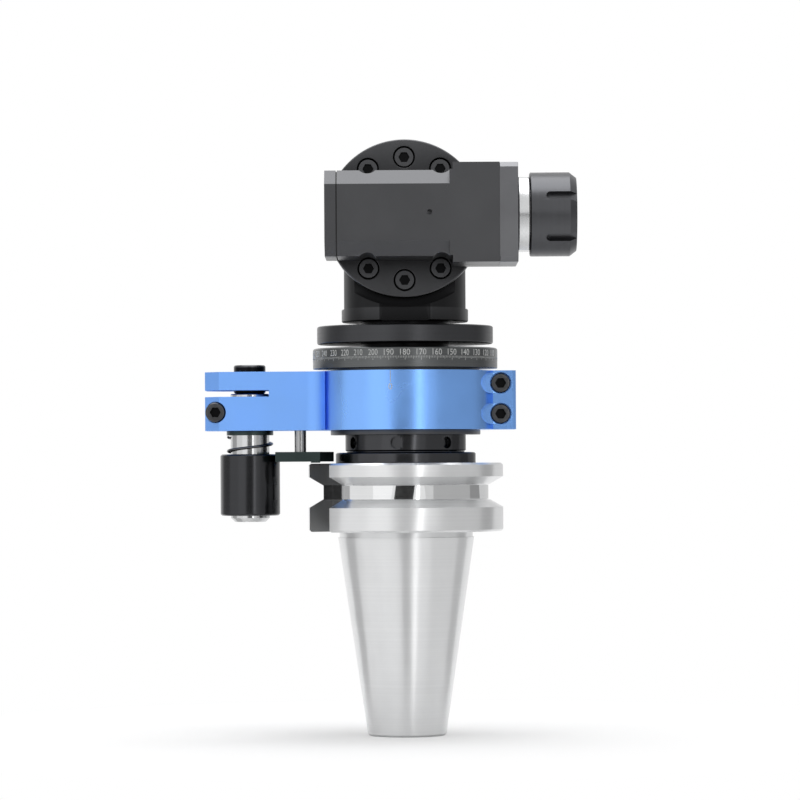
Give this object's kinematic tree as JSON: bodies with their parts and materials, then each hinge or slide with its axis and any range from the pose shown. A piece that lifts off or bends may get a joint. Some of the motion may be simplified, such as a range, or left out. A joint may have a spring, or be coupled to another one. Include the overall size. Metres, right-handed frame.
{
  "type": "right angle milling head",
  "caption": "Angle head on a taper shank: mitre gears turn a collet spindle set square to the shank; an arm with a locating pin and a sprung lock keeps the body still.",
  "frame": {"origin": "centre of the taper's gauge plane, on the shank axis", "axes": "+Z along the shank axis towards the head, +X the way the tool spindle points, -Y the front where the swivel disc faces"},
  "size_m": [0.1884, 0.128, 0.304],
  "materials": {
    "ground_steel": "ground",
    "bright_steel": "turned",
    "black_oxide_housing": "black oxide, milled",
    "black_oxide_turned": "black oxide, turned",
    "dial_black": "black oxide with white graduations",
    "blue_anodised": "blue anodised",
    "green_black_plate": "black oxide, satin",
    "screw_black": "black oxide",
    "spring_steel": "drawn",
    "bearing_steel": "polished",
    "gear_steel": "hardened",
    "seal_rubber": "moulded"
  },
  "bodies": {
    "housing": {"main_housing": "black_oxide_housing", "bearing_nut": "black_oxide_turned", "shaft_seal": "seal_rubber", "main_bearing_outer_rings": "bearing_steel", "main_bearing_balls": "bearing_steel", "dial_ring": "dial_black", "upper_flange": "black_oxide_turned", "gear_housing": "black_oxide_housing", "rear_cover": "black_oxide_housing", "rear_cover_screws": "screw_black", "column_bearing_outer_ring": "bearing_steel", "transfer_bearing_outer_rings": "bearing_steel"},
    "shank": {"taper_shank": "ground_steel", "dust_collar": "black_oxide_turned", "main_bearing_inner_rings": "bearing_steel", "stem_locknut": "gear_steel", "column_bearing_inner_ring": "bearing_steel", "stem_spacer": "bright_steel", "input_gear": "gear_steel", "input_gear_screw": "screw_black"},
    "clamp_arm": {"clamp_ring": "blue_anodised", "ring_screws": "screw_black", "arm_screw": "screw_black", "locating_pin": "ground_steel", "height_screw": "screw_black", "spring_seat": "spring_steel", "lock_spring": "spring_steel"},
    "lock": {"lock_sleeve": "black_oxide_turned", "lock_plate": "green_black_plate", "guide_rod": "bright_steel"},
    "head": {"head_housing": "black_oxide_housing", "swivel_disc": "black_oxide_housing", "left_cover": "black_oxide_housing", "cover_gasket": "seal_rubber", "left_cover_screws": "screw_black", "end_cap": "black_oxide_housing", "end_cap_screws": "screw_black", "swivel_screws": "screw_black", "tee_nuts": "gear_steel", "spindle_bearing_outer_rings": "bearing_steel", "tail_bearing_outer_ring": "bearing_steel", "spindle_seal": "seal_rubber"},
    "transfer": {"transfer_shaft": "bright_steel", "transfer_gear_rear": "gear_steel", "transfer_gear_front": "gear_steel", "transfer_bearing_inner_rings": "bearing_steel", "transfer_gear_screw": "screw_black"},
    "spindle": {"tool_spindle": "bright_steel", "spindle_gear": "gear_steel", "spindle_bearing_inner_rings": "bearing_steel", "tail_bearing_inner_ring": "bearing_steel", "gear_circlip": "gear_steel", "tail_locknut": "gear_steel"},
    "collet_body": {"collet": "bright_steel"},
    "nut": {"collet_nut": "black_oxide_turned"}
  },
  "joints": [
    {"name": "input_spin", "type": "hinge", "parent": "housing", "child": "shank", "pos_m": [0, 0, 0.05], "axis": [0, 0, 1], "continuous": true},
    {"name": "ring_swivel", "type": "hinge", "parent": "housing", "child": "clamp_arm", "pos_m": [0, 0, 0.07], "axis": [0, 0, 1], "continuous": true},
    {"name": "lock_slide", "type": "slide", "parent": "clamp_arm", "child": "lock", "axis": [0, 0, 1], "range_m": [-0.0037, 0.008], "stiffness_N_per_m": 2000, "springref_m": -0.0135, "deforming": ["lock_spring"]},
    {"name": "transfer_spin", "type": "hinge", "parent": "housing", "child": "transfer", "pos_m": [0, 0, 0.162], "axis": [0, 1, 0], "continuous": true},
    {"name": "head_tilt", "type": "hinge", "parent": "housing", "child": "head", "pos_m": [0, -0.024, 0.162], "axis": [0, -1, 0], "range_deg": [0, 90]},
    {"name": "tool_spin", "type": "hinge", "parent": "head", "child": "spindle", "pos_m": [0, -0.053, 0.162], "axis": [1, 0, 0], "continuous": true},
    {"name": "collet_slide", "type": "slide", "parent": "spindle", "child": "collet_body", "axis": [1, 0, 0], "range_m": [0, 0.0075]},
    {"name": "nut_turn", "type": "hinge", "parent": "collet_body", "child": "nut", "pos_m": [0.07, -0.053, 0.162], "axis": [1, 0, 0], "range_deg": [0, 1800]}
  ],
  "couplings": [
    {"joint": "transfer_spin", "follows": "input_spin", "ratio": 1},
    {"joint": "tool_spin", "follows": "input_spin", "ratio": -1},
    {"joint": "nut_turn", "follows": "collet_slide", "rad_per_m": 4188.8}
  ]
}
